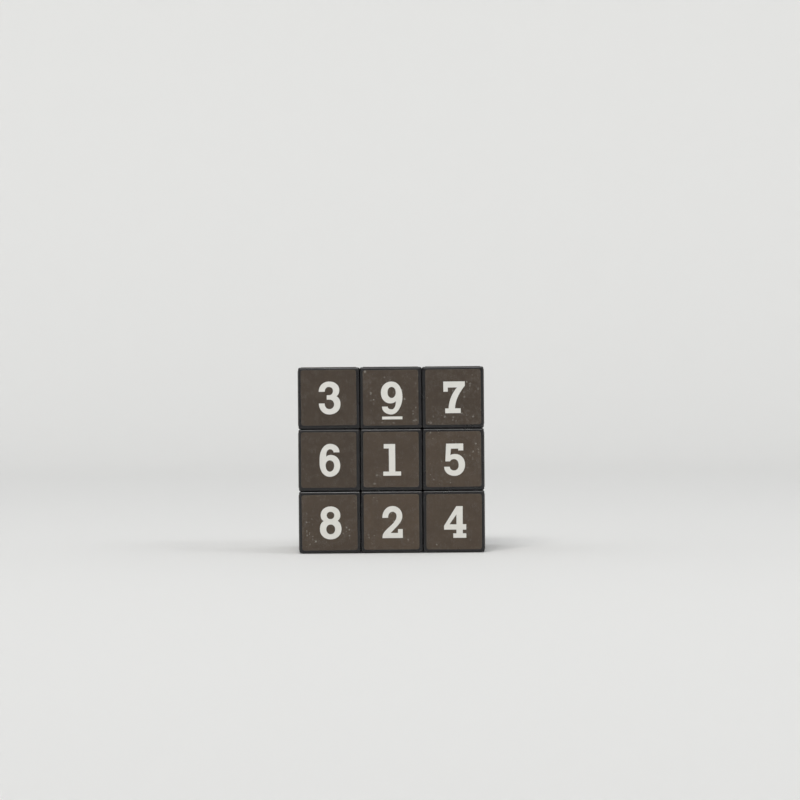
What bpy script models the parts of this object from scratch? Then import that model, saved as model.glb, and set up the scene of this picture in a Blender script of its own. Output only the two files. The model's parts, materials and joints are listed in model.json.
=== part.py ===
"""Sudoku cube: a turning puzzle of 3 x 3 x 3 cubies, as an assembly of its mouldings, core and springs.

The frame's origin is the cube's centre, where all six turning axes cross. +Z is up, and the front
side faces -Y. A layer is everything outside one flat cut, plus a round lip that reaches in under the
cut. Corners lie in three layers, edges in two and centres in one, so each moulding's sliding faces
and the foot that holds it in the cube come from the same six cuts.
"""

import itertools
import math

import bmesh
import bpy
from mathutils import Matrix, Vector

MM = 0.001

# Overall size and fits
SIDE = 53.0 * MM
RUNNING_GAP = 0.3 * MM  # between faces that slide past each other
SEAT_GAP = 0.3 * MM  # between mouldings that stay together
SHELL_WALL = 1.7 * MM  # label walls and end walls of the shells
FOOT_WALL = 1.4 * MM  # sliding walls of the feet
EDGE_ROUND = 0.5 * MM  # rounding along every outer edge of a cubie

# The round lip under each layer's flat cut
LIP_DROP = 3.0 * MM  # depth below the cut
LIP_REACH = 2.4 * MM  # reach past the corner where two cuts cross

# Core, screws and springs
CORE_RADIUS = 5.0 * MM
ARM_RADIUS = 3.0 * MM
ARM_SOCKET = 3.2 * MM  # depth of the socket that a hub turns on
SCREW_RADIUS = 1.25 * MM
HEAD_RADIUS = 2.7 * MM
HEAD_HEIGHT = 1.8 * MM
RECESS_LENGTH = 3.0 * MM  # the cross recess that a driver fits
RECESS_WIDTH = 0.8 * MM
RECESS_DEPTH = 1.0 * MM
SPRING_LENGTH = 6.4 * MM  # room from the hub's floor to the screw head
SPRING_TURNS = 4.5
WIRE_RADIUS = 0.3 * MM
WIRE_CLEARANCE = 0.4 * MM  # from the spring to the screw and to the well

# Centre hub and cap
HUB_FLOOR = 1.8 * MM  # floor under the spring
POCKET_FLOOR = 1.6 * MM  # thickness over the arches
HUB_WALL = 1.6 * MM
CAP_THICKNESS = 1.7 * MM
SKIRT_DEPTH = 3.0 * MM
SKIRT_WALL = 1.2 * MM

# Facets
ROUND_SIDES = 32  # a multiple of eight, so that a lip is alike after every quarter turn
SMALL_SIDES = 20
ROUND_STEPS = 2
CURL_POINTS = 9
FLAT_ANGLE = math.radians(20)  # a wider angle than this stays a crisp edge

# Derived places along a face's axis, from the cube's centre
HALF = SIDE / 2
CUT = SIDE / 3 / 2
INSIDE = CUT + RUNNING_GAP / 2  # where a turning layer's material starts
OUTSIDE = CUT - RUNNING_GAP / 2  # where the rest of the cube ends
LIP_RADIUS = CUT * math.sqrt(2) + LIP_REACH
BEYOND = SIDE  # safely past every face
LAP = 1.0 * MM  # how far joined shapes run into each other
HUB_BOTTOM = INSIDE - LIP_DROP
SOCKET_TOP = HUB_BOTTOM + ARM_SOCKET
ARM_TIP = SOCKET_TOP - RUNNING_GAP
FLOOR_TOP = SOCKET_TOP + HUB_FLOOR
HEAD_BOTTOM = FLOOR_TOP + SPRING_LENGTH
HEAD_TOP = HEAD_BOTTOM + HEAD_HEIGHT
POCKET_BOTTOM = LIP_RADIUS + RUNNING_GAP / 2 + POCKET_FLOOR
HUB_TOP = HALF - CAP_THICKNESS - SEAT_GAP
POCKET_HALF = OUTSIDE - HUB_WALL
COIL_RADIUS = SCREW_RADIUS + WIRE_CLEARANCE + WIRE_RADIUS
WELL_RADIUS = max(COIL_RADIUS + WIRE_RADIUS, HEAD_RADIUS) + WIRE_CLEARANCE
FOOT_TOP = HALF - SHELL_WALL - SEAT_GAP
FOOT_END = OUTSIDE - SHELL_WALL - SEAT_GAP

FACES = {
    "up": Vector((0, 0, 1)),
    "down": Vector((0, 0, -1)),
    "front": Vector((0, -1, 0)),
    "back": Vector((0, 1, 0)),
    "left": Vector((-1, 0, 0)),
    "right": Vector((1, 0, 0)),
}

# An edge turns with its first face as that face's piece, and about its second face's axis by itself
EDGES = [
    *itertools.product(("up", "down"), ("front", "back")),
    *itertools.product(("left", "right"), ("up", "down")),
    *itertools.product(("front", "back"), ("left", "right")),
]
CORNERS = list(itertools.product(("up", "down"), ("front", "back"), ("left", "right")))

# Finishes: colour, roughness, metallic
FINISHES = {
    "shell_black": ((0.012, 0.012, 0.015), 0.28, 0.0),
    "inner_black": ((0.018, 0.018, 0.020), 0.45, 0.0),
    "core_grey": ((0.10, 0.10, 0.11), 0.50, 0.0),
    "spring_steel": ((0.56, 0.55, 0.53), 0.30, 1.0),
}


def clear_scene():
    for thing in list(bpy.data.objects):
        bpy.data.objects.remove(thing, do_unlink=True)


def new_collection(name):
    collection = bpy.data.collections.new(name)
    bpy.context.scene.collection.children.link(collection)
    return collection


def new_material(name):
    colour, roughness, metallic = FINISHES[name]
    material = bpy.data.materials.new(name)
    material.use_nodes = True
    shader = material.node_tree.nodes["Principled BSDF"]
    shader.inputs["Base Color"].default_value = (*colour, 1.0)
    shader.inputs["Roughness"].default_value = roughness
    shader.inputs["Metallic"].default_value = metallic
    return material


def helper(name, mesh):
    """A cutter or a blank: drawn as wire and left out of renders."""
    thing = bpy.data.objects.new(name, mesh)
    cutters.objects.link(thing)
    thing.hide_render = True
    thing.display_type = "WIRE"
    return thing


def box(name, low, high):
    low, high = Vector(low), Vector(high)
    shape = bmesh.new()
    bmesh.ops.create_cube(shape, size=1.0)
    bmesh.ops.scale(shape, vec=high - low, verts=shape.verts)
    bmesh.ops.translate(shape, vec=(low + high) / 2, verts=shape.verts)
    mesh = bpy.data.meshes.new(name)
    shape.to_mesh(mesh)
    shape.free()
    return helper(name, mesh)


def cylinder(name, radius, bottom, top, sides):
    shape = bmesh.new()
    bmesh.ops.create_cone(
        shape, cap_ends=True, segments=sides, radius1=radius, radius2=radius, depth=top - bottom
    )
    bmesh.ops.translate(shape, vec=(0, 0, (bottom + top) / 2), verts=shape.verts)
    mesh = bpy.data.meshes.new(name)
    shape.to_mesh(mesh)
    shape.free()
    return helper(name, mesh)


def combine(thing, operation, others):
    for other in others:
        modifier = thing.modifiers.new(f"{operation.lower()}_{other.name}", "BOOLEAN")
        modifier.operation = operation
        modifier.solver = "EXACT"
        modifier.object = other
    return thing


def finished_mesh(thing, name):
    """The shape of a blank with its modifiers, as a mesh that copies can share."""
    bpy.context.view_layer.update()
    graph = bpy.context.evaluated_depsgraph_get()
    mesh = bpy.data.meshes.new_from_object(thing.evaluated_get(graph))
    mesh.name = name
    return mesh


def round_edges(thing):
    modifier = thing.modifiers.new("rounded_edges", "BEVEL")
    modifier.width = EDGE_ROUND
    modifier.segments = ROUND_STEPS
    return thing


def facing(normal):
    """The turn that takes +Z to a face's normal."""
    side = Vector((normal.y, normal.z, normal.x))
    return Matrix((side, normal.cross(side), normal)).transposed().to_4x4()


def along_edge(first, second):
    """The turn that takes +Y and +Z to two faces' normals."""
    return Matrix((first.cross(second), first, second)).transposed().to_4x4()


def at_corner(first, second, third):
    """The turn that takes the corner of +X, +Y and +Z to that of three faces."""
    if first.cross(second).dot(third) < 0:
        first, second = second, first
    return Matrix((first, second, third)).transposed().to_4x4()


def layer_solid(name, start, radius):
    """A layer's space round +Z: all beyond the cut at start, and the lip of that radius under it."""
    slab = box(f"{name}_slab", (-BEYOND, -BEYOND, start), (BEYOND, BEYOND, BEYOND))
    lip = cylinder(f"{name}_lip", radius, start - LIP_DROP, start + LAP, ROUND_SIDES)
    return finished_mesh(combine(slab, "UNION", [lip]), name)


def layer_cutters(name, mesh):
    """One copy of a layer's space for each face."""
    copies = {}
    for face, normal in FACES.items():
        copies[face] = helper(f"{name}_{face}", mesh)
        copies[face].matrix_world = facing(normal)
    return copies


def corner_shell():
    blank = round_edges(box("corner_shell_blank", [INSIDE] * 3, [HALF] * 3))
    hollow = box("corner_shell_hollow", [-BEYOND] * 3, [HALF - SHELL_WALL] * 3)
    return finished_mesh(combine(blank, "DIFFERENCE", [hollow]), "corner_shell")


def corner_foot(turning):
    blank = box("corner_foot_blank", [0] * 3, [FOOT_TOP] * 3)
    combine(blank, "INTERSECT", [turning["right"], turning["back"], turning["up"]])
    hollow = box("corner_foot_hollow", [INSIDE + FOOT_WALL] * 3, [BEYOND] * 3)
    return finished_mesh(combine(blank, "DIFFERENCE", [hollow]), "corner_foot")


def edge_shell(still):
    blank = box("edge_shell_blank", (-OUTSIDE, INSIDE, INSIDE), (OUTSIDE, HALF, HALF))
    round_edges(blank)
    end = OUTSIDE - SHELL_WALL
    top = HALF - SHELL_WALL
    hollow = box("edge_shell_hollow", (-end, -BEYOND, -BEYOND), (end, top, top))
    combine(blank, "DIFFERENCE", [hollow, still["left"], still["right"]])
    return finished_mesh(blank, "edge_shell")


def edge_foot(turning, still):
    blank = box("edge_foot_blank", (-FOOT_END, 0, 0), (FOOT_END, FOOT_TOP, FOOT_TOP))
    combine(blank, "INTERSECT", [turning["back"], turning["up"]])
    wall = INSIDE + FOOT_WALL
    hollow = box("edge_foot_hollow", (-BEYOND, wall, wall), (BEYOND, BEYOND, BEYOND))
    combine(blank, "DIFFERENCE", [hollow, still["left"], still["right"]])
    return finished_mesh(blank, "edge_foot")


def centre_cap():
    blank = box("cap_blank", (-OUTSIDE, -OUTSIDE, INSIDE), (OUTSIDE, OUTSIDE, HALF))
    round_edges(blank)
    under = HALF - CAP_THICKNESS
    below = box("cap_below", [-BEYOND] * 3, (BEYOND, BEYOND, under))
    outer = POCKET_HALF - SEAT_GAP
    inner = outer - SKIRT_WALL
    low = under - SKIRT_DEPTH
    skirt = box("cap_skirt", (-outer, -outer, low), (outer, outer, under + SEAT_GAP))
    opening = box("cap_skirt_opening", (-inner, -inner, low - LAP), (inner, inner, under))
    combine(blank, "DIFFERENCE", [below])
    combine(blank, "UNION", [skirt])
    combine(blank, "DIFFERENCE", [opening])
    return finished_mesh(blank, "centre_cap")


def centre_hub(turning, still):
    blank = box("hub_blank", (-HALF, -HALF, 0), (HALF, HALF, HUB_TOP))
    combine(blank, "INTERSECT", [turning["up"]])
    pocket = box(
        "hub_pocket",
        (-POCKET_HALF, -POCKET_HALF, POCKET_BOTTOM),
        (POCKET_HALF, POCKET_HALF, BEYOND),
    )
    well = cylinder("hub_well", WELL_RADIUS, FLOOR_TOP, POCKET_BOTTOM + LAP, SMALL_SIDES)
    hole = cylinder("hub_hole", SCREW_RADIUS + RUNNING_GAP, 0, FLOOR_TOP + LAP, SMALL_SIDES)
    socket = cylinder("hub_socket", ARM_RADIUS + RUNNING_GAP, 0, SOCKET_TOP, SMALL_SIDES)
    arches = [still[face] for face in ("front", "back", "left", "right")]
    combine(blank, "DIFFERENCE", arches + [pocket, well, hole, socket])
    return finished_mesh(blank, "centre_hub")


def cross_recess(name, low, high):
    """The two slots of a screw head's cross, between two heights."""
    long = RECESS_LENGTH / 2
    short = RECESS_WIDTH / 2
    return [
        box(f"{name}_along", (-long, -short, low), (long, short, high)),
        box(f"{name}_across", (-short, -long, low), (short, long, high)),
    ]


def core_spider():
    """A ball with an arm and a screw towards each face."""
    shape = bmesh.new()
    rings = SMALL_SIDES // 4 * 2 - 1  # odd, so that no ring lies along an arm's edge
    bmesh.ops.create_uvsphere(shape, u_segments=SMALL_SIDES, v_segments=rings, radius=CORE_RADIUS)
    half_step = Matrix.Rotation(math.pi / SMALL_SIDES, 3, "Z")  # takes the seams off the arms' edges
    bmesh.ops.rotate(shape, matrix=half_step, verts=shape.verts)
    mesh = bpy.data.meshes.new("core_ball")
    shape.to_mesh(mesh)
    shape.free()
    ball = helper("core_ball", mesh)
    spindle = cylinder("core_arms", ARM_RADIUS, -ARM_TIP, ARM_TIP, SMALL_SIDES)
    shank = cylinder("screw_shanks", SCREW_RADIUS, -HEAD_BOTTOM - LAP, HEAD_BOTTOM + LAP, SMALL_SIDES)
    heads = [
        cylinder("screw_head_top", HEAD_RADIUS, HEAD_BOTTOM, HEAD_TOP, SMALL_SIDES),
        cylinder("screw_head_bottom", HEAD_RADIUS, -HEAD_TOP, -HEAD_BOTTOM, SMALL_SIDES),
    ]
    recesses = cross_recess("recess_top", HEAD_TOP - RECESS_DEPTH, HEAD_TOP + LAP)
    recesses += cross_recess("recess_bottom", -HEAD_TOP - LAP, RECESS_DEPTH - HEAD_TOP)
    combine(spindle, "UNION", [shank] + heads)
    combine(spindle, "DIFFERENCE", recesses)
    line = finished_mesh(spindle, "core_spindle")
    for face in ("up", "front", "right"):
        spoke = helper(f"core_spindle_{face}", line)
        spoke.matrix_world = facing(FACES[face])
        combine(ball, "UNION", [spoke])
    return finished_mesh(ball, "core_spider")


def spring_points():
    low = FLOOR_TOP + SEAT_GAP + WIRE_RADIUS
    high = HEAD_BOTTOM - SEAT_GAP - WIRE_RADIUS
    steps = round(SPRING_TURNS * CURL_POINTS)
    for step in range(steps + 1):
        angle = 2 * math.pi * SPRING_TURNS * step / steps
        height = low + (high - low) * step / steps
        yield Vector((COIL_RADIUS * math.cos(angle), COIL_RADIUS * math.sin(angle), height))


def coil_spring():
    points = list(spring_points())
    apart = [
        (first - second).length
        for (i, first), (j, second) in itertools.combinations(enumerate(points), 2)
        if j - i > CURL_POINTS // 2
    ]
    print(f"spring: least gap between curls {(min(apart) - 2 * WIRE_RADIUS) / MM:.2f} mm")
    curve = bpy.data.curves.new("spring_wire", "CURVE")
    curve.dimensions = "3D"
    curve.bevel_depth = WIRE_RADIUS
    curve.bevel_resolution = 1
    curve.use_fill_caps = True
    spline = curve.splines.new("POLY")
    spline.points.add(len(points) - 1)
    for place, point in zip(spline.points, points):
        place.co = (*point, 1.0)
    wire = helper("spring_wire", curve)
    mesh = finished_mesh(wire, "coil_spring")
    shape = bmesh.new()
    shape.from_mesh(mesh)
    bmesh.ops.remove_doubles(shape, verts=shape.verts, dist=WIRE_RADIUS / 100)
    bmesh.ops.recalc_face_normals(shape, faces=shape.faces)
    shape.to_mesh(mesh)
    shape.free()
    bpy.data.objects.remove(wire)
    return mesh


def place(name, mesh, finish, turn, carrier):
    """One piece of the cube, on the empty that its body turns with."""
    piece = bpy.data.objects.new(name, mesh)
    parts.objects.link(piece)
    mesh.materials.clear()
    mesh.materials.append(finishes[finish])
    mesh.shade_smooth()
    mesh.set_sharp_from_angle(angle=FLAT_ANGLE)
    piece.parent = carrier
    piece.matrix_world = turn
    return piece


def pivot(name, parent=None):
    """An empty at the crossing of the axes, which carries one body."""
    empty = bpy.data.objects.new(name, None)
    empty.empty_display_size = CUT
    parts.objects.link(empty)
    empty.parent = parent
    return empty


clear_scene()
parts = new_collection("sudoku_cube")
cutters = new_collection("cutters")
finishes = {name: new_material(name) for name in FINISHES}

half_gap = RUNNING_GAP / 2
turning = layer_cutters("turning", layer_solid("turning_layer", INSIDE, LIP_RADIUS - half_gap))
still = layer_cutters("still", layer_solid("still_layer", OUTSIDE, LIP_RADIUS + half_gap))

meshes = {
    "core_spider": core_spider(),
    "spring": coil_spring(),
    "centre_hub": centre_hub(turning, still),
    "centre_cap": centre_cap(),
    "edge_foot": edge_foot(turning, still),
    "edge_shell": edge_shell(still),
    "corner_foot": corner_foot(turning),
    "corner_shell": corner_shell(),
}

carriers = {"core": pivot("body_core")}
place("core_spider", meshes["core_spider"], "core_grey", Matrix.Identity(4), carriers["core"])

for face, normal in FACES.items():
    carrier = carriers[face] = pivot(f"body_centre_{face}", carriers["core"])
    turn = facing(normal)
    place(f"centre_hub_{face}", meshes["centre_hub"], "inner_black", turn, carrier)
    place(f"centre_cap_{face}", meshes["centre_cap"], "shell_black", turn, carrier)
    place(f"spring_{face}", meshes["spring"], "spring_steel", turn, carrier)

for first, second in EDGES:
    name = f"{first}_{second}"
    carrier = carriers[name] = pivot(f"body_edge_{name}", carriers[first])
    turn = along_edge(FACES[first], FACES[second])
    place(f"edge_foot_{name}", meshes["edge_foot"], "inner_black", turn, carrier)
    place(f"edge_shell_{name}", meshes["edge_shell"], "shell_black", turn, carrier)

for first, second, third in CORNERS:
    name = f"{first}_{second}_{third}"
    carrier = pivot(f"body_corner_{name}", carriers[f"{first}_{second}"])
    turn = at_corner(FACES[first], FACES[second], FACES[third])
    place(f"corner_foot_{name}", meshes["corner_foot"], "inner_black", turn, carrier)
    place(f"corner_shell_{name}", meshes["corner_shell"], "shell_black", turn, carrier)

bpy.context.view_layer.update()
print(f"sudoku cube: {sum(thing.type == 'MESH' for thing in parts.objects)} pieces")
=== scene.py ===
import itertools
import json
import math
import random

import bmesh
import bpy
from mathutils import Matrix, Vector
from mathutils.geometry import tessellate_polygon

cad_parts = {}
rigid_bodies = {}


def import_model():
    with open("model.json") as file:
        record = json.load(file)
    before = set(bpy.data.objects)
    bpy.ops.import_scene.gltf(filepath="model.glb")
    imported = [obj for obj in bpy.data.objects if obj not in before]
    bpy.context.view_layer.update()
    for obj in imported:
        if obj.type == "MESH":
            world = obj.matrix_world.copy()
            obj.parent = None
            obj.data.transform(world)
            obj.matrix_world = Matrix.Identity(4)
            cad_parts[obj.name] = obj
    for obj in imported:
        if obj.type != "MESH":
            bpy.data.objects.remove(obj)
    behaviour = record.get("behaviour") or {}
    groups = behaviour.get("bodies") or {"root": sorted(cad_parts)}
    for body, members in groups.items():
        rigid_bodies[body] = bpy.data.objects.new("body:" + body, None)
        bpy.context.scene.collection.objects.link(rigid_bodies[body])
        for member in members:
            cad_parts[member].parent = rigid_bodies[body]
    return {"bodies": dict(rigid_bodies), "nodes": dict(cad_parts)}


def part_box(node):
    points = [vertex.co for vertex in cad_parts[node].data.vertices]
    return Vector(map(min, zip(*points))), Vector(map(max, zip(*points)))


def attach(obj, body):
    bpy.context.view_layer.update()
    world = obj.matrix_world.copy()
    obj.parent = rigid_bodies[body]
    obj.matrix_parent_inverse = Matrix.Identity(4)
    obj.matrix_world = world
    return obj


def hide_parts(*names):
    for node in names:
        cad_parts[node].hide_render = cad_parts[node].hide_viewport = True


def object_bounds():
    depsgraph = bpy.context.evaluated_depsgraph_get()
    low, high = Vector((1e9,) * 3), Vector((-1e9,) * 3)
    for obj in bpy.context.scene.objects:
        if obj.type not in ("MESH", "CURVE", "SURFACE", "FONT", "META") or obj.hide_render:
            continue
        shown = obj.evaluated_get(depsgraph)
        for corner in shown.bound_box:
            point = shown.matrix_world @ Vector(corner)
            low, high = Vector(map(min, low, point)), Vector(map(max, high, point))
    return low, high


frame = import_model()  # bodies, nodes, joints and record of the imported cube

mm = 0.001
scene = bpy.context.scene
scene.view_settings.view_transform = "Standard"

cadBox = [list(corner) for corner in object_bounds()]
half = cadBox[1][0]  # middle of the cube to a face
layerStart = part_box("corner_shell_up_back_right")[0].x  # an outer layer starts here
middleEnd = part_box("centre_cap_up")[1].x  # the middle layer ends here

faces = {  # the way a face looks, and its right-hand side as you look at it
    "front": (Vector((0, -1, 0)), Vector((1, 0, 0))),
    "back": (Vector((0, 1, 0)), Vector((-1, 0, 0))),
    "left": (Vector((-1, 0, 0)), Vector((0, -1, 0))),
    "right": (Vector((1, 0, 0)), Vector((0, 1, 0))),
    "up": (Vector((0, 0, 1)), Vector((1, 0, 0))),
    "down": (Vector((0, 0, -1)), Vector((1, 0, 0))),
}
faceLooking = {tuple(outward): name for name, (outward, across) in faces.items()}
bodyWith = {frozenset(name.split("_")[1:]): name for name in frame["bodies"]}  # by the faces it shows


# node helpers

def addNode(tree, kind, values=None, **settings):
    node = tree.nodes.new(kind)
    for name, value in settings.items():
        setattr(node, name, value)
    for name, value in (values or {}).items():
        if isinstance(value, bpy.types.NodeSocket):
            tree.links.new(value, node.inputs[name])
        else:
            node.inputs[name].default_value = value
    return node


def mathNode(tree, operation, first, second=0.0):
    return addNode(tree, "ShaderNodeMath", {0: first, 1: second}, operation=operation).outputs[0]


def vectorNode(tree, operation, *values):
    return addNode(tree, "ShaderNodeVectorMath", dict(enumerate(values)), operation=operation).outputs[0]


def scaleVector(tree, vector, factor):
    return addNode(tree, "ShaderNodeVectorMath", {0: vector, "Scale": factor}, operation="SCALE").outputs[0]


def noiseNode(tree, where, scale, detail, roughness=0.5):
    values = {"Vector": where, "Scale": scale, "Detail": detail, "Roughness": roughness}
    return addNode(tree, "ShaderNodeTexNoise", values).outputs  # a value and a colour


def attributeNode(tree, name):
    return addNode(tree, "ShaderNodeAttribute", attribute_name=name).outputs["Fac"]


def spread(tree, value, given=(0.0, 1.0), wanted=(0.0, 1.0), way="LINEAR"):
    values = {"Value": value}
    values["From Min"], values["From Max"] = given
    values["To Min"], values["To Max"] = wanted
    return addNode(tree, "ShaderNodeMapRange", values, interpolation_type=way).outputs[0]


def fade(tree, value, start, full, least=0.0):
    return spread(tree, value, (start, full), (least, 1.0), "SMOOTHSTEP")


def mixColour(tree, factor, first, second):
    values = {0: factor}
    for place, colour in ((6, first), (7, second)):  # the node's two colour sockets
        values[place] = colour if isinstance(colour, bpy.types.NodeSocket) else (*colour, 1.0)
    return addNode(tree, "ShaderNodeMix", values, data_type="RGBA").outputs[2]


def newGroup(name, inputs, outputs):
    group = bpy.data.node_groups.new(name, "ShaderNodeTree")
    group.interface.new_socket(name="Vector", in_out="INPUT", socket_type="NodeSocketVector")
    for label, value in inputs.items():
        socket = group.interface.new_socket(name=label, in_out="INPUT", socket_type="NodeSocketFloat")
        socket.default_value = value
    for label in outputs:
        group.interface.new_socket(name=label, in_out="OUTPUT", socket_type="NodeSocketFloat")
    return group, group.nodes.new("NodeGroupInput").outputs, group.nodes.new("NodeGroupOutput").inputs


def useGroup(tree, group, where, values):
    return addNode(tree, "ShaderNodeGroup", {"Vector": where, **values}, node_tree=group).outputs


# shared effects, all in millimetres over the surface

noiseMiddle = 0.5

grainSet = {
    "fineDetail": 3.0,
    "broadDetail": 4.0,
    "cloud": (0.32, 0.68),  # noise levels where a cloud starts and where it is full
}


def makeGrain():
    group, given, out = newGroup("mouldGrain", {"Fine": 3.0, "Broad": 0.2}, ["Height", "Cloud"])
    fine = noiseNode(group, given["Vector"], given["Fine"], grainSet["fineDetail"])[0]
    broad = noiseNode(group, given["Vector"], given["Broad"], grainSet["broadDetail"])[0]
    group.links.new(fine, out["Height"])
    group.links.new(spread(group, broad, grainSet["cloud"]), out["Cloud"])
    return group


handlingSet = {
    "bend": {"scale": 2.4, "detail": 4.0, "roughness": 0.7},  # so that no mark is round or straight
    "bendMost": 1.2,
    "rarity": 3.5,  # the higher, the fewer large specks
    "solid": 0.2,  # share of a speck's reach that is full
    "faintest": 0.35,
    "patch": {"scale": 0.17, "detail": 3.0},  # the marks lie in patches
    "patchStart": 0.75,  # noise level where a patch starts with no cover
    "patchDrop": 0.5,  # full cover takes it down by this
    "patchEdge": 0.12,
    "haze": {"scale": 1.1, "detail": 5.0, "roughness": 0.65},
    "hazeLevels": (0.42, 0.68),
    "hazeLeast": 0.25,  # left outside the patches
    "smudge": {"scale": 0.35, "detail": 3.0},
    "smudgeLevels": (0.3, 0.7),
    "hair": {"scale": 1.0, "detail": 1.0},
    "hairSize": (9.0, 0.33, 0.33),  # long in one way only
    "hairLean": (0.4, 0.25),
    "hairEdge": (0.018, 0.004),
    "hairWays": (  # turn in the surface, and the smudge levels where that way starts and is full
        (0.45, 0.52, 0.66),
        (-0.95, 0.46, 0.32),
        (1.75, 0.47, 0.60),
    ),
}


def makeHandling():
    group, given, out = newGroup(
        "handlingMarks",
        {
            "Speck Pitch": 0.7,  # millimetres from speck to speck
            "Speck Size": 0.4,  # largest speck, as a share of the pitch
            "Cover": 0.5,  # how much of the surface has any
        },
        ["Specks", "Scratches", "Haze", "Smudge"],
    )
    where = given["Vector"]
    wobble = noiseNode(group, where, **handlingSet["bend"])[1]
    centred = vectorNode(group, "SUBTRACT", wobble, [noiseMiddle] * 3)
    bent = vectorNode(group, "MULTIPLY_ADD", centred, [handlingSet["bendMost"]] * 3, where)

    level = noiseNode(group, where, **handlingSet["patch"])[0]
    drop = mathNode(group, "MULTIPLY", given["Cover"], handlingSet["patchDrop"])
    start = mathNode(group, "SUBTRACT", handlingSet["patchStart"], drop)
    patch = fade(group, level, start, mathNode(group, "ADD", start, handlingSet["patchEdge"]))

    perMillimetre = mathNode(group, "DIVIDE", 1.0, given["Speck Pitch"])
    cells = addNode(group, "ShaderNodeTexVoronoi", {"Vector": bent, "Scale": perMillimetre}).outputs
    chance = addNode(group, "ShaderNodeSeparateColor", {0: cells["Color"]}).outputs
    size = mathNode(group, "POWER", chance[0], handlingSet["rarity"])
    reach = mathNode(group, "MULTIPLY", size, given["Speck Size"])
    solid = mathNode(group, "MULTIPLY", reach, handlingSet["solid"])
    strength = spread(group, chance[1], wanted=(handlingSet["faintest"], 1.0))
    speck = mathNode(group, "MULTIPLY", fade(group, cells["Distance"], reach, solid), strength)
    group.links.new(mathNode(group, "MULTIPLY", speck, patch), out["Specks"])

    thick = fade(group, noiseNode(group, where, **handlingSet["haze"])[0], *handlingSet["hazeLevels"])
    share = spread(group, patch, wanted=(handlingSet["hazeLeast"], 1.0))
    group.links.new(mathNode(group, "MULTIPLY", thick, share), out["Haze"])

    smudge = noiseNode(group, where, **handlingSet["smudge"])[0]
    group.links.new(spread(group, smudge, handlingSet["smudgeLevels"]), out["Smudge"])

    hairlines = 0.0
    for turn, start, full in handlingSet["hairWays"]:
        rotation = (*handlingSet["hairLean"], turn)
        laid = {"Vector": bent, "Rotation": rotation, "Scale": handlingSet["hairSize"]}
        along = addNode(group, "ShaderNodeMapping", laid, vector_type="TEXTURE").outputs[0]
        fibres = noiseNode(group, along, **handlingSet["hair"])[0]
        ridge = mathNode(group, "ABSOLUTE", mathNode(group, "SUBTRACT", fibres, noiseMiddle))
        line = fade(group, ridge, *handlingSet["hairEdge"])
        broken = mathNode(group, "MULTIPLY", line, fade(group, smudge, start, full))
        hairlines = mathNode(group, "MAXIMUM", hairlines, broken)
    group.links.new(hairlines, out["Scratches"])
    return group


rubSet = {
    "detail": 4.0,
    "worn": (0.35, 0.7),  # noise levels from least to full
    "least": 0.15,
}


def makeEdgeRub():
    group, given, out = newGroup("edgeRub", {"Breakup": 0.8}, ["Mask"])
    gaps = noiseNode(group, given["Vector"], given["Breakup"], rubSet["detail"])[0]
    worn = fade(group, gaps, *rubSet["worn"], rubSet["least"])
    group.links.new(mathNode(group, "MULTIPLY", attributeNode(group, "rub"), worn), out["Mask"])
    return group


mouldGrain = makeGrain()
handlingMarks = makeHandling()
edgeRub = makeEdgeRub()
print("effects:", mouldGrain.name, handlingMarks.name, edgeRub.name)


# finishes

def startFinish(name, constants):
    material = bpy.data.materials.new(name)
    material.use_nodes = True
    tree = material.node_tree
    shader = tree.nodes["Principled BSDF"]
    for socket, value in constants.items():
        shader.inputs[socket].default_value = value
    return material, tree, shader


def feed(tree, shader, values):
    for socket, value in values.items():
        tree.links.new(value, shader.inputs[socket])


def cubeMillimetres(tree):
    return scaleVector(tree, addNode(tree, "ShaderNodeTexCoord").outputs["Object"], 1 / mm)


def labelMillimetres(tree):
    return addNode(tree, "ShaderNodeUVMap", uv_map="film").outputs[0]


def bumpFrom(tree, height, depth):
    return addNode(tree, "ShaderNodeBump", {"Height": height, "Distance": depth}).outputs[0]


shellFinish = {
    "shader": {"IOR": 1.5},
    "black": (0.0033, 0.0028, 0.0033),
    "rubbed": (0.0125, 0.0122, 0.0133),
    "dust": (0.050, 0.049, 0.047),
    "roughness": (0.20, 0.36),
    "scuffed": 0.12,  # roughness that a scratch adds
    "grain": 0.004 * mm,
    "mould": {"Fine": 5.0, "Broad": 0.25},
    "marks": {"Speck Pitch": 0.8, "Speck Size": 0.3, "Cover": 0.5},
    "rub": {"Breakup": 0.7},
}


def makeShellPlastic():
    material, tree, shader = startFinish("shellPlastic", shellFinish["shader"])
    where = cubeMillimetres(tree)
    grain = useGroup(tree, mouldGrain, where, shellFinish["mould"])
    marks = useGroup(tree, handlingMarks, where, shellFinish["marks"])
    rub = useGroup(tree, edgeRub, where, shellFinish["rub"])["Mask"]
    worn = mixColour(tree, rub, shellFinish["black"], shellFinish["rubbed"])
    sheen = spread(tree, marks["Smudge"], wanted=shellFinish["roughness"])
    scuffs = mathNode(tree, "MULTIPLY", marks["Scratches"], shellFinish["scuffed"])
    scuffed = mathNode(tree, "ADD", sheen, scuffs)
    feed(tree, shader, {
        "Base Color": mixColour(tree, marks["Specks"], worn, shellFinish["dust"]),
        "Roughness": mathNode(tree, "ADD", scuffed, attributeNode(tree, "dulled")),
        "Normal": bumpFrom(tree, grain["Height"], shellFinish["grain"]),
    })
    return material


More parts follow.
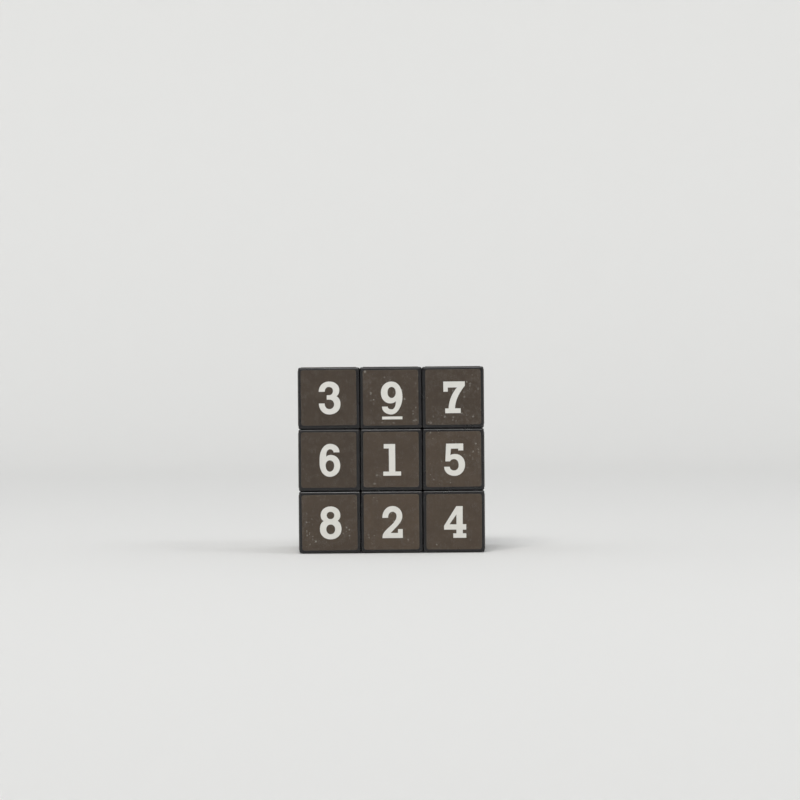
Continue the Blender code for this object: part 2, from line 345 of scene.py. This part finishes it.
labelFinish = {
    "shader": {"IOR": 1.47},
    "dark": (0.0475, 0.0312, 0.0190),
    "light": (0.0570, 0.0386, 0.0241),
    "bands": (2.2, 0.06, 1.0),  # faint upright bands in the dark print, close across and long upward
    "bandNoise": {"scale": 1.0, "detail": 3.0},
    "bandLevels": (0.3, 0.7),
    "bandDepth": 0.2,  # as a share of the way from dark to light
    "haze": (0.100, 0.085, 0.070),
    "hazeMost": 0.35,
    "scratch": (0.115, 0.100, 0.085),
    "scratchMost": 0.8,
    "speck": (0.27, 0.255, 0.225),
    "cutEdge": (0.080, 0.064, 0.050),
    "roughness": (0.36, 0.50),
    "scuffed": 0.15,  # roughness that a speck or a scratch adds
    "peel": 0.004 * mm,
    "mould": {"Fine": 1.4, "Broad": 0.22},
    "marks": {"Speck Pitch": 0.8, "Speck Size": 0.62},
    "rub": {"Breakup": 0.6},
}


def makeLabelFilm():
    material, tree, shader = startFinish("labelFilm", labelFinish["shader"])
    where = labelMillimetres(tree)
    cover = {"Cover": attributeNode(tree, "handled")}
    grain = useGroup(tree, mouldGrain, where, labelFinish["mould"])
    marks = useGroup(tree, handlingMarks, where, labelFinish["marks"] | cover)
    rim = useGroup(tree, edgeRub, where, labelFinish["rub"])["Mask"]
    drawn = addNode(tree, "ShaderNodeMapping", {"Vector": where, "Scale": labelFinish["bands"]}).outputs[0]
    bands = noiseNode(tree, drawn, **labelFinish["bandNoise"])[0]
    depth = labelFinish["bandDepth"]
    streaks = spread(tree, bands, labelFinish["bandLevels"], (-depth, depth))
    shade = mathNode(tree, "ADD", grain["Cloud"], streaks)
    printed = mixColour(tree, shade, labelFinish["dark"], labelFinish["light"])
    # print depth that differs at random from label to label, which on the front is also painted shade,
    # darker at the top left and lighter at the bottom right
    toned = scaleVector(tree, printed, attributeNode(tree, "tone"))
    haze = mathNode(tree, "MULTIPLY", marks["Haze"], labelFinish["hazeMost"])
    hazed = mixColour(tree, haze, toned, labelFinish["haze"])
    scratches = mathNode(tree, "MULTIPLY", marks["Scratches"], labelFinish["scratchMost"])
    scuffed = mixColour(tree, scratches, hazed, labelFinish["scratch"])
    dusted = mixColour(tree, marks["Specks"], scuffed, labelFinish["speck"])
    sheen = spread(tree, marks["Smudge"], wanted=labelFinish["roughness"])
    marked = mathNode(tree, "MAXIMUM", marks["Specks"], marks["Scratches"])
    dull = mathNode(tree, "MULTIPLY", marked, labelFinish["scuffed"])
    feed(tree, shader, {
        "Base Color": mixColour(tree, rim, dusted, labelFinish["cutEdge"]),
        "Roughness": mathNode(tree, "ADD", sheen, dull),
        "Normal": bumpFrom(tree, grain["Height"], labelFinish["peel"]),
    })
    return material


numberFinish = {
    "shader": {"IOR": 1.47},
    "white": (0.68, 0.67, 0.63),
    "thin": (0.60, 0.59, 0.55),
    "thinMost": 0.5,  # how thin the ink's own clouds get
    "roughness": (0.42, 0.55),
    "ink": 0.003 * mm,
    "mould": {"Fine": 2.5, "Broad": 0.6},
    "marks": {"Speck Pitch": 0.8, "Speck Size": 0.4, "Cover": 0.55},
}


def makeNumberPrint():
    material, tree, shader = startFinish("numberPrint", numberFinish["shader"])
    where = labelMillimetres(tree)
    grain = useGroup(tree, mouldGrain, where, numberFinish["mould"])
    marks = useGroup(tree, handlingMarks, where, numberFinish["marks"])
    patchy = mathNode(tree, "MULTIPLY", grain["Cloud"], numberFinish["thinMost"])
    thin = mathNode(tree, "MAXIMUM", patchy, marks["Specks"])
    feed(tree, shader, {
        "Base Color": mixColour(tree, thin, numberFinish["white"], numberFinish["thin"]),
        "Roughness": spread(tree, marks["Smudge"], wanted=numberFinish["roughness"]),
        "Normal": bumpFrom(tree, grain["Height"], numberFinish["ink"]),
    })
    return material


innerFinish = {
    "shader": {"IOR": 1.5},
    "black": (0.016, 0.016, 0.018),
    "polished": (0.030, 0.030, 0.033),
    "polishMost": 0.4,  # away from the scratches
    "roughness": (0.32, 0.52),
    "grain": 0.010 * mm,
    "mould": {"Fine": 3.0, "Broad": 0.3},
    "marks": {"Speck Pitch": 1.2, "Speck Size": 0.3, "Cover": 0.5},
}


def makeInnerPlastic():
    material, tree, shader = startFinish("innerPlastic", innerFinish["shader"])
    where = cubeMillimetres(tree)
    grain = useGroup(tree, mouldGrain, where, innerFinish["mould"])
    marks = useGroup(tree, handlingMarks, where, innerFinish["marks"])
    clouds = mathNode(tree, "MULTIPLY", grain["Cloud"], innerFinish["polishMost"])
    worn = mathNode(tree, "MAXIMUM", clouds, marks["Scratches"])
    feed(tree, shader, {
        "Base Color": mixColour(tree, worn, innerFinish["black"], innerFinish["polished"]),
        "Roughness": spread(tree, marks["Smudge"], wanted=innerFinish["roughness"]),
        "Normal": bumpFrom(tree, grain["Height"], innerFinish["grain"]),
    })
    return material


coreFinish = {
    "shader": {"IOR": 1.5},
    "grey": (0.085, 0.085, 0.092),
    "pale": (0.120, 0.120, 0.126),
    "steel": (0.52, 0.51, 0.49),
    "armTip": 8.93,  # millimetres from the middle, beyond which the screws start
    "roughness": (0.42, 0.58),
    "screwShine": 0.2,  # taken off the roughness on the screws
    "grain": 0.010 * mm,
    "mould": {"Fine": 3.0, "Broad": 0.3},
    "marks": {"Speck Pitch": 1.2, "Speck Size": 0.3, "Cover": 0.5},
}


def makeCorePlastic():
    material, tree, shader = startFinish("corePlastic", coreFinish["shader"])
    where = cubeMillimetres(tree)
    grain = useGroup(tree, mouldGrain, where, coreFinish["mould"])
    marks = useGroup(tree, handlingMarks, where, coreFinish["marks"])
    x, y, z = addNode(tree, "ShaderNodeSeparateXYZ", {0: vectorNode(tree, "ABSOLUTE", where)}).outputs
    along = mathNode(tree, "MAXIMUM", mathNode(tree, "MAXIMUM", x, y), z)  # along the nearest arm
    screw = mathNode(tree, "GREATER_THAN", along, coreFinish["armTip"])
    plastic = mixColour(tree, grain["Cloud"], coreFinish["grey"], coreFinish["pale"])
    sheen = spread(tree, marks["Smudge"], wanted=coreFinish["roughness"])
    shine = mathNode(tree, "MULTIPLY", screw, coreFinish["screwShine"])
    feed(tree, shader, {
        "Base Color": mixColour(tree, screw, plastic, coreFinish["steel"]),
        "Metallic": screw,
        "Roughness": mathNode(tree, "SUBTRACT", sheen, shine),
        "Normal": bumpFrom(tree, grain["Height"], coreFinish["grain"]),
    })
    return material


springFinish = {
    "shader": {"Metallic": 1.0},
    "bright": (0.58, 0.57, 0.55),
    "dull": (0.40, 0.39, 0.37),
    "roughness": (0.22, 0.40),
    "drawn": 0.003 * mm,
    "mould": {"Fine": 8.0, "Broad": 1.2},
}


def makeSpringSteel():
    material, tree, shader = startFinish("springSteel", springFinish["shader"])
    grain = useGroup(tree, mouldGrain, cubeMillimetres(tree), springFinish["mould"])
    feed(tree, shader, {
        "Base Color": mixColour(tree, grain["Cloud"], springFinish["bright"], springFinish["dull"]),
        "Roughness": spread(tree, grain["Cloud"], wanted=springFinish["roughness"]),
        "Normal": bumpFrom(tree, grain["Height"], springFinish["drawn"]),
    })
    return material


finishes = {
    "shell_plastic": makeShellPlastic(),
    "label_film": makeLabelFilm(),
    "number_print": makeNumberPrint(),
    "inner_plastic": makeInnerPlastic(),
    "core_plastic": makeCorePlastic(),
    "spring_steel": makeSpringSteel(),
}
print("finishes:", ", ".join(finishes))


# pieces

def addPiece(name, mesh, slot, body, replaced=()):
    piece = bpy.data.objects.new(name, mesh)
    scene.collection.objects.link(piece)
    mesh.materials.clear()
    mesh.materials.append(finishes[slot])
    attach(piece, body)
    if replaced:
        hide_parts(*replaced)
    return piece


def setLook(mesh, name, values):
    # one value for each vertex, which a finish reads by its name
    mesh.attributes.new(name, "FLOAT", "POINT").data.foreach_set("value", values)


def meshFrom(name, shape):
    mesh = bpy.data.meshes.new(name)
    shape.to_mesh(mesh)
    shape.free()
    return mesh


def blockShape(low, high):
    shape = bmesh.new()
    bmesh.ops.create_cube(shape, size=1.0)
    bmesh.ops.scale(shape, vec=Vector(high) - Vector(low), verts=shape.verts)
    bmesh.ops.translate(shape, vec=(Vector(low) + Vector(high)) / 2, verts=shape.verts)
    return shape


def cutMesh(name, blank, *cuts):
    # runs the cuts as modifiers on a throwaway object and keeps the result
    working = bpy.data.objects.new(name, meshFrom(name, blank))
    scene.collection.objects.link(working)
    helpers = [working]
    for operation, shape in cuts:
        other = bpy.data.objects.new(name + "_cut", meshFrom(name + "_cut", shape))
        scene.collection.objects.link(other)
        helpers.append(other)
        step = working.modifiers.new(operation, "BOOLEAN")
        step.operation = operation
        step.solver = "EXACT"
        step.object = other
    bpy.context.view_layer.update()
    graph = bpy.context.evaluated_depsgraph_get()
    mesh = bpy.data.meshes.new_from_object(working.evaluated_get(graph))
    for helper in helpers:
        spare = helper.data
        bpy.data.objects.remove(helper)
        bpy.data.meshes.remove(spare)
    mesh.name = name
    return mesh


def turnTo(first, second, third):
    return Matrix((first, second, third)).transposed().to_4x4()


labelSet = {
    "side": 15.75 * mm,
    "corner": 0.7 * mm,
    "film": 0.12 * mm,
    "softEdge": 0.04 * mm,  # rounding along the cut edge
    "rim": 0.16 * mm,  # width of the pale line inside the cut edge
    "cornerSteps": 6,
    "sharpAngle": 30,  # degrees, for numbers too
    "shiftMost": 0.10 * mm,  # laid by hand, so none is quite true
    "turnMost": 0.45,  # degrees
    "laidSeed": 27,
    "handled": (0.32, 0.68),  # share that has dust and scuffs, from a clean label to a worn one
    "handledSeed": 2885,
    "toneMost": 0.2,  # prints differ a little in depth, as a share of their colour; on the front these draws also paint shade, darker labels at the top left and lighter ones at the bottom right
    # picked so that the front's labels get painted shade: darker at the top left, lighter at the bottom
    # right
    "toneSeed": 4912,
    "grainStep": (40.0, 25.0),  # millimetres of film from one label's grain to the next one's
}
inkDepth = 0.02 * mm
shellFace = half - labelSet["film"] - inkDepth  # plastic under the labels


# shells, drawn at the up face, at the back up edge and at the right back up corner

shellSet = {
    "round": 0.5 * mm,
    "steps": 6,
    "seam": 0.12 * mm,  # each side of a parting line closes by this much, for the thin line that shows
    "wall": 1.7 * mm,
    "lipRadius": 15.05 * mm,  # round way through an edge's end walls for the next layer's lip
    "lipDepth": 3.0 * mm,
    "lipSides": 96,
    "capThickness": 1.7 * mm,
    "skirtHalf": 6.78 * mm,
    "skirtWall": 1.2 * mm,
    "lap": 0.3 * mm,  # skirt and cap share this much, so that they join
    "sharpAngle": 40,  # degrees
    "flatWeight": 100,  # large faces alone set the shading of the flats
    "rubFade": 0.3,  # share of the rounding over which the rubbing fades
    "dullMost": 0.14,  # shells differ a little in shine, added to or taken off their roughness
    "shineSeed": 6766,
}
far = 4 * half  # well outside the cube


def roundedBlock(low, high):
    shape = blockShape(low, high)
    bmesh.ops.bevel(
        shape,
        geom=shape.edges[:],
        offset=shellSet["round"],
        segments=shellSet["steps"],
        profile=0.5,  # a true round
        affect="EDGES",
    )
    return shape


def markRub(mesh, low, high):
    # one on the rounded edges, fading to nothing on the flats
    radius = shellSet["round"]
    rubs = []
    for vertex in mesh.vertices:
        depths = [min(at - start, end - at) for at, start, end in zip(vertex.co, low, high)]
        into = sorted(max(0.0, radius - depth) for depth in depths)
        rubs.append(min(1.0, into[1] / (shellSet["rubFade"] * radius)))
    setLook(mesh, "rub", rubs)


def lipWay(side):
    shape = bmesh.new()
    bmesh.ops.create_cone(
        shape,
        cap_ends=True,
        segments=shellSet["lipSides"],
        radius1=shellSet["lipRadius"],
        radius2=shellSet["lipRadius"],
        depth=2 * shellSet["lipDepth"],
    )
    bmesh.ops.rotate(shape, matrix=Matrix.Rotation(math.pi / 2, 3, "Y"), verts=shape.verts)
    bmesh.ops.translate(shape, vec=(side * middleEnd, 0, 0), verts=shape.verts)
    return shape


def cornerShell():
    low, high = [layerStart - shellSet["seam"]] * 3, [shellFace] * 3
    hollow = blockShape([-far] * 3, [half - shellSet["wall"]] * 3)
    mesh = cutMesh("cornerShell", roundedBlock(low, high), ("DIFFERENCE", hollow))
    markRub(mesh, low, high)
    return mesh


def edgeShell():
    start, side = layerStart - shellSet["seam"], middleEnd + shellSet["seam"]
    low, high = (-side, start, start), (side, shellFace, shellFace)
    end, top = middleEnd - shellSet["wall"], half - shellSet["wall"]
    mesh = cutMesh(
        "edgeShell",
        roundedBlock(low, high),
        ("DIFFERENCE", blockShape((-end, -far, -far), (end, top, top))),
        ("DIFFERENCE", lipWay(-1)),
        ("DIFFERENCE", lipWay(1)),
    )
    markRub(mesh, low, high)
    return mesh


def capShell():
    side = middleEnd + shellSet["seam"]
    low, high = (-side, -side, layerStart), (side, side, shellFace)
    under = half - shellSet["capThickness"]
    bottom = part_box("centre_cap_up")[0].z
    outer = shellSet["skirtHalf"]
    inner = outer - shellSet["skirtWall"]
    lap = shellSet["lap"]
    mesh = cutMesh(
        "capShell",
        roundedBlock(low, high),
        ("DIFFERENCE", blockShape([-far] * 3, (far, far, under))),
        ("UNION", blockShape((-outer, -outer, bottom), (outer, outer, under + lap))),
        ("DIFFERENCE", blockShape((-inner, -inner, bottom - lap), (inner, inner, under))),
    )
    markRub(mesh, low, high)
    return mesh


def shellTurn(shown):
    # turns a shell from where it is drawn to the faces that it shows
    ways = [faces[name][0] for name in shown]
    if len(ways) == 1:
        across = faces[shown[0]][1]
        return turnTo(across, ways[0].cross(across), ways[0])
    if len(ways) == 2:
        return turnTo(ways[0].cross(ways[1]), *ways)
    if ways[0].cross(ways[1]).dot(ways[2]) < 0:
        ways = [ways[1], ways[0], ways[2]]
    return turnTo(*ways)


def addShells():
    shine = random.Random(shellSet["shineSeed"])
    drawn = {
        "corner": ("corner_shell", cornerShell()),
        "edge": ("edge_shell", edgeShell()),
        "centre": ("centre_cap", capShell()),
    }
    for body in bodyWith.values():
        kind, *shown = body.split("_")
        if kind not in drawn:
            continue
        solid, shell = drawn[kind]
        mesh = shell.copy()
        dulled = shine.uniform(-1, 1) * shellSet["dullMost"]
        setLook(mesh, "dulled", [dulled] * len(mesh.vertices))
        mesh.transform(shellTurn(shown))
        mesh.shade_smooth()
        mesh.set_sharp_from_angle(angle=math.radians(shellSet["sharpAngle"]))
        node = "_".join([solid, *shown])
        piece = addPiece("moulded_" + node, mesh, "shell_plastic", body, [node])
        steady = piece.modifiers.new("flat sides", "WEIGHTED_NORMAL")
        steady.keep_sharp = True
        steady.weight = shellSet["flatWeight"]
    for solid, shell in drawn.values():
        bpy.data.meshes.remove(shell)
    print("shells: 8 corners, 12 edges and 6 caps")


addShells()


# labels

def roundedSquare(side, radius, steps):
    points = []
    reach = (side / 2 - radius) * math.sqrt(2)  # middle of the square to a corner's own middle
    for quarter in range(4):
        middle = math.radians(45 + 90 * quarter)
        for step in range(steps + 1):
            angle = math.radians(90 * (quarter + step / steps))
            x = reach * math.cos(middle) + radius * math.cos(angle)
            y = reach * math.sin(middle) + radius * math.sin(angle)
            points.append((x, y))
    return points


def finishFlat(mesh, place, offset):
    # keeps the flat outline as the film's own millimetres, then lays it on the cube
    film = mesh.uv_layers.new(name="film")
    for loop in mesh.loops:
        x, y = mesh.vertices[loop.vertex_index].co.xy
        film.data[loop.index].uv = (x / mm + offset[0], y / mm + offset[1])
    mesh.transform(place)
    mesh.shade_smooth()
    mesh.set_sharp_from_angle(angle=math.radians(labelSet["sharpAngle"]))
    return mesh


def labelMesh(name, place, offset, **looks):
    side, corner, film = labelSet["side"], labelSet["corner"], labelSet["film"]
    soft, rim = labelSet["softEdge"], labelSet["rim"]
    rings = [(0.0, 0.0, 1.0), (0.0, film - soft, 1.0), (soft, film, 1.0), (soft + rim, film, 0.0)]
    points, rubs, loops = [], [], []
    for inset, height, rub in rings:
        outline = roundedSquare(side - 2 * inset, corner - inset, labelSet["cornerSteps"])
        loops.append(range(len(points), len(points) + len(outline)))
        points += [(x, y, height) for x, y in outline]
        rubs += [rub] * len(outline)
    quads = []
    for lower, upper in zip(loops, loops[1:]):
        count = len(lower)
        for i in range(count):
            j = (i + 1) % count
            quads.append((lower[i], lower[j], upper[j], upper[i]))
    mesh = bpy.data.meshes.new(name)
    mesh.from_pydata(points, [], quads + [tuple(reversed(loops[0])), tuple(loops[-1])])
    setLook(mesh, "rub", rubs)
    for look, value in looks.items():  # the same all over one label
        setLook(mesh, look, [value] * len(points))
    return finishFlat(mesh, place, offset)


# numbers, drawn in hundredths of their height from the middle of the foot:
# (x, y) is a straight, "h" or "v" a quarter bend that leaves level or upright,
# and six figures a free bend with its two handles

numberSet = {
    "height": 9.0 * mm,
    "hundredths": 100,
    "across": 0.28 * mm,  # printed a little right of the label's middle
    "below": 0.09 * mm,
    "bend": 0.58,  # fullness of a quarter bend, 0.55 is round
    "steps": 10,
    "closed": 0.01,  # an outline's ends are one point when they are this near
    "underline": (-31, -17.5, 33, -8.5),
}

numberOutlines = {
    1: [[
        (-26, 100), (10, 100), (10, 13), (28, 13), (28, 0), (-28, 0), (-28, 13), (-10, 13), (-10, 86),
        (-26, 86),
    ]],
    2: [[
        (-32, 64), (0, 101, "v"), (31, 69, "h"), (31, 49, 11, 35, -6, 16), (17, 16), (17, 28), (32, 28),
        (32, 0), (-32, 0), (-32, 6), (-30, 28, 13, 44, 13, 69), (0, 83, "v"), (-14, 64, "h"),
    ]],
    3: [[
        (-34, 70), (-1, 102, "v"), (31, 75, "h"), (31, 66, 28, 60, 22, 55), (31, 50, 34, 41, 34, 30),
        (-1, -2, "v"), (-34, 33, "h"), (-16, 33), (-1, 15, "v"), (14, 30, "h"), (-1, 45, "v"), (-9, 45),
        (-9, 59), (-1, 59), (11, 73, "h"), (-2, 85, "v"), (-15, 70, "h"),
    ]],
    4: [
        [
            (4, 100), (24, 100), (24, 43), (35, 43), (35, 25.6), (24, 25.6), (24, 14), (35, 14), (35, 0),
            (-6, 0), (-6, 14), (4, 14), (4, 26), (-35, 26), (-35, 38),
        ],
        [(4.2, 74), (4.2, 42.6), (-18, 42.6)],
    ],
    5: [[
        (-26, 100), (28, 100), (28, 78), (12, 78), (12, 84), (-11, 84), (-13, 63),
        (-10, 66, -4, 67, 2, 67), (33, 34, "h"), (0, -2, "v"), (-33, 27, "h"), (-15, 27), (-1, 15, "v"),
        (13, 32, "h"), (-1, 51, "v"), (-8, 51, -12, 48, -14, 44), (-29, 44),
    ]],
    6: [
        [
            (31, 75), (1, 102, "v"), (-32, 53, "h"), (-32, 40), (0, -2, "v"), (33, 34, "h"), (3, 67, "v"),
            (-3, 67, -8, 65, -11, 61), (-11, 67), (1, 85, "v"), (12, 75, "h"),
        ],
        [(-13, 34), (0, 50, "v"), (14, 34, "h"), (0, 14, "v"), (-13, 34, "h")],
    ],
    7: [[
        (-34, 100), (34, 100), (34, 86), (20, 70, 3, 43, 2, 15), (20, 15), (20, 0), (-29, 0), (-29, 15),
        (-18, 15), (-17, 40, -7, 62, 9, 81), (-20, 81), (-20, 68), (-34, 68),
    ]],
    8: [
        [
            (0, 102), (31, 74, "h"), (31, 66, 28, 60, 22, 56), (31, 51, 34, 41, 34, 30), (0, -2, "v"),
            (-34, 30, "h"), (-34, 41, -31, 51, -22, 56), (-28, 60, -31, 66, -31, 74), (0, 102, "v"),
        ],
        [(-12, 74), (0, 85, "v"), (12, 74, "h"), (0, 62, "v"), (-12, 74, "h")],
        [(-14, 30), (0, 45, "v"), (14, 30, "h"), (0, 14, "v"), (-14, 30, "h")],
    ],
    9: [
        [
            (-31, 23), (-1, -2, "v"), (19, -2, 34, 28, 34, 54), (0, 102, "v"), (-34, 67, "h"), (-4, 33, "v"),
            (3, 33, 10, 36, 13, 40), (0, 14, "v"), (-13, 23, "h"),
        ],
        [(-13, 68), (0, 85, "v"), (13, 68, "h"), (0, 50, "v"), (-13, 68, "h")],
    ],
}

faceNumbers = {  # rows from the top, as you look at each face
    "front": ((3, 9, 7), (6, 1, 5), (8, 2, 4)),
    "right": ((2, 6, 8), (4, 7, 3), (9, 5, 1)),
    "back": ((5, 1, 4), (8, 3, 2), (7, 6, 9)),
    "left": ((1, 4, 6), (9, 5, 7), (2, 8, 3)),
    "up": ((7, 8, 2), (1, 9, 6), (4, 3, 5)),
    "down": ((9, 2, 3), (5, 8, 4), (6, 7, 1)),
}


def drawOutline(path):
    points = [Vector(path[0])]
    for step in path[1:]:
        start = points[-1]
        if len(step) == 2:
            points.append(Vector(step))
            continue
        if len(step) == 3:
            end, fullness = Vector(step[:2]), numberSet["bend"]
            run, rise = Vector((end.x - start.x, 0)), Vector((0, end.y - start.y))
            out, into = (run, rise) if step[2] == "h" else (rise, run)
            handles = (start + out * fullness, end - into * fullness)
        else:
            handles, end = (Vector(step[:2]), Vector(step[2:4])), Vector(step[4:])
        for i in range(1, numberSet["steps"] + 1):
            t = i / numberSet["steps"]
            s = 1 - t
            leaving = s**3 * start + 3 * s * s * t * handles[0]
            points.append(leaving + 3 * s * t * t * handles[1] + t**3 * end)
    if (points[0] - points[-1]).length < numberSet["closed"]:
        points.pop()
    return points


def numberShapes(figure):
    shapes = [[drawOutline(path) for path in numberOutlines[figure]]]
    if figure == 9:  # underlined, so that it isn't read as a six
        left, bottom, right, top = numberSet["underline"]
        shapes.append([[Vector(p) for p in ((left, bottom), (right, bottom), (right, top), (left, top))]])
    return shapes


def numberMesh(name, figure, place, offset):
    scale = numberSet["height"] / numberSet["hundredths"]
    middle = numberSet["hundredths"] / 2
    points, sides = [], []
    for loops in numberShapes(figure):
        flat = [[Vector((p.x * scale, (p.y - middle) * scale, 0)) for p in loop] for loop in loops]
        first = len(points)
        corners = [p for loop in flat for p in loop]
        count = len(corners)
        points += [(p.x, p.y, height) for height in (-inkDepth, inkDepth) for p in corners]
        for triangle in tessellate_polygon(flat):
            top = [first + count + i for i in triangle]
            sides += [top, [first + i for i in reversed(triangle)]]
        start = first
        for loop in flat:
            for i in range(len(loop)):
                low, high = start + i, start + (i + 1) % len(loop)
                sides.append([low, high, high + count, low + count])
            start += len(loop)
    mesh = bpy.data.meshes.new(name)
    mesh.from_pydata(points, [], sides)
    shape = bmesh.new()
    shape.from_mesh(mesh)
    bmesh.ops.recalc_face_normals(shape, faces=shape.faces)
    shape.to_mesh(mesh)
    shape.free()
    return finishFlat(mesh, place, offset)


def addLabels():
    laid = random.Random(labelSet["laidSeed"])
    wear = random.Random(labelSet["handledSeed"])
    # draws for each label's print depth, which on the front also give painted shade
    ink = random.Random(labelSet["toneSeed"])
    spacing = (layerStart + half) / 2  # middle of the cube to the middle of an outer cubie
    lift = Matrix.Translation((numberSet["across"], -numberSet["below"], labelSet["film"]))
    count = 0
    for face, rows in faceNumbers.items():
        outward, across = faces[face]
        upward = outward.cross(across)
        turn = turnTo(across, upward, outward)
        for row, col in itertools.product(range(3), repeat=2):
            sideways, raised = col - 1, 1 - row
            shown = {face}
            if sideways:
                shown.add(faceLooking[tuple(across * sideways)])
            if raised:
                shown.add(faceLooking[tuple(upward * raised)])
            body = bodyWith[frozenset(shown)]
            shift = [laid.uniform(-1, 1) * labelSet["shiftMost"] for axis in range(2)]
            tilt = Matrix.Rotation(math.radians(laid.uniform(-1, 1) * labelSet["turnMost"]), 4, "Z")
            middle = Vector((sideways * spacing + shift[0], raised * spacing + shift[1], shellFace))
            place = turn @ Matrix.Translation(middle) @ tilt
            offset = [step * count for step in labelSet["grainStep"]]
            handled = wear.uniform(*labelSet["handled"])
            # random print depth, and on the front painted shade: darker labels at the top left, lighter at
            # the bottom right
            tone = 1 + ink.uniform(-1, 1) * labelSet["toneMost"]
            spot = f"{face}_{row + 1}{col + 1}"
            label = labelMesh("label_" + spot, place, offset, handled=handled, tone=tone)
            number = numberMesh("number_" + spot, rows[row][col], place @ lift, offset)
            addPiece("label_" + spot, label, "label_film", body)
            addPiece("number_" + spot, number, "number_print", body)
            count += 1
    print("labels:", count, "with a number each")


addLabels()


# carried-over solids

innerNodes = {"core_spider": "core_plastic"}
for name in frame["nodes"]:
    if name.startswith("spring_"):
        innerNodes[name] = "spring_steel"
    elif "_foot_" in name or "_hub_" in name:
        innerNodes[name] = "inner_plastic"
for name, slot in innerNodes.items():
    for place in frame["nodes"][name].material_slots:
        place.material = finishes[slot]
print("inside:", len(innerNodes), "solids with their own finish")


# floor, light and camera

floorSet = {
    "shader": {"Base Color": (0.80, 0.80, 0.79, 1.0), "Roughness": 0.9},
    "flat": 1.1,  # metres out to where it starts to rise
    "bend": 0.5,
    "wall": 1.0,
    "bendSteps": 16,
    "sides": 96,
    "clear": 0.05 * mm,  # under the lowest print, so that no two faces share a plane
    "merge": 0.01 * mm,
}


def addFloor():
    profile = [(0.0, 0.0), (floorSet["flat"], 0.0)]
    for step in range(1, floorSet["bendSteps"] + 1):
        angle = math.pi / 2 * step / floorSet["bendSteps"]
        out = floorSet["flat"] + floorSet["bend"] * math.sin(angle)
        profile.append((out, floorSet["bend"] * (1 - math.cos(angle))))
    profile.append((profile[-1][0], floorSet["wall"]))
    shape = bmesh.new()
    line = [shape.verts.new((out, 0, height)) for out, height in profile]
    edges = [shape.edges.new(pair) for pair in zip(line, line[1:])]
    bmesh.ops.spin(
        shape,
        geom=line + edges,
        axis=(0, 0, 1),
        cent=(0, 0, 0),
        angle=2 * math.pi,
        steps=floorSet["sides"],
        use_merge=True,
    )
    bmesh.ops.remove_doubles(shape, verts=shape.verts, dist=floorSet["merge"])
    bmesh.ops.recalc_face_normals(shape, faces=shape.faces)
    bmesh.ops.reverse_faces(shape, faces=shape.faces)
    mesh = meshFrom("floor", shape)
    mesh.shade_smooth()
    material, tree, shader = startFinish("paleFloor", floorSet["shader"])
    mesh.materials.append(material)
    floor = bpy.data.objects.new("floor", mesh)
    floor.location.z = cadBox[0][2] - floorSet["clear"]
    scene.collection.objects.link(floor)


lightSet = {
    "sky": (0.95, 0.97, 1.0),
    "skyStrength": 0.345,
    "lamps": {  # place, width, watts, colour
        "key": ((-0.4, -2.5, 2.45), 1.6, 67.0, (1.0, 0.985, 0.96)),
        "top": ((0.0, 0.1, 2.6), 1.4, 9.0, (1.0, 1.0, 1.0)),
        "fill": ((2.0, -1.6, 1.6), 1.6, 19.5, (0.96, 0.98, 1.0)),
    },
}


def addLight():
    world = bpy.data.worlds.new("studio")
    world.use_nodes = True
    sky = world.node_tree.nodes["Background"]
    sky.inputs["Color"].default_value = (*lightSet["sky"], 1.0)
    sky.inputs["Strength"].default_value = lightSet["skyStrength"]
    scene.world = world
    for name, (place, width, watts, colour) in lightSet["lamps"].items():
        lamp = bpy.data.lights.new(name, "AREA")
        lamp.shape = "DISK"
        lamp.size = width
        lamp.energy = watts
        lamp.color = colour
        stand = bpy.data.objects.new(name, lamp)
        stand.location = place
        stand.rotation_euler = (-Vector(place)).to_track_quat("-Z", "Y").to_euler()
        scene.collection.objects.link(stand)
    print("light:", ", ".join(lightSet["lamps"]))


viewSet = {
    "image": 800,  # pixels across
    "faceMiddle": (391.4, 459.8),  # pixel of the front face's middle
    "faceWidth": 186.5,  # pixels across the front face
    "roll": 0.45,  # degrees that the cube leans to the left
    "distance": 0.95,  # metres from the lens to the front face
    "sensor": 36.0,
}


def addCamera():
    pixel = 2 * half / viewSet["faceWidth"]
    roll = math.radians(viewSet["roll"])
    right = Vector((math.cos(roll), 0, -math.sin(roll)))
    upward = Vector((math.sin(roll), 0, math.cos(roll)))
    back = Vector((0, -1, 0))
    leftBy = (viewSet["image"] / 2 - viewSet["faceMiddle"][0]) * pixel
    belowBy = (viewSet["faceMiddle"][1] - viewSet["image"] / 2) * pixel
    lens = bpy.data.cameras.new("camera")
    lens.sensor_width = viewSet["sensor"]
    lens.lens = viewSet["sensor"] * viewSet["distance"] / (viewSet["image"] * pixel)
    camera = bpy.data.objects.new("camera", lens)
    pose = turnTo(right, upward, back)
    pose.translation = back * (half + viewSet["distance"]) + right * leftBy + upward * belowBy
    camera.matrix_world = pose
    scene.collection.objects.link(camera)
    scene.camera = camera
    print("camera: lens", round(lens.lens, 1), "mm")


addFloor()
addLight()
addCamera()
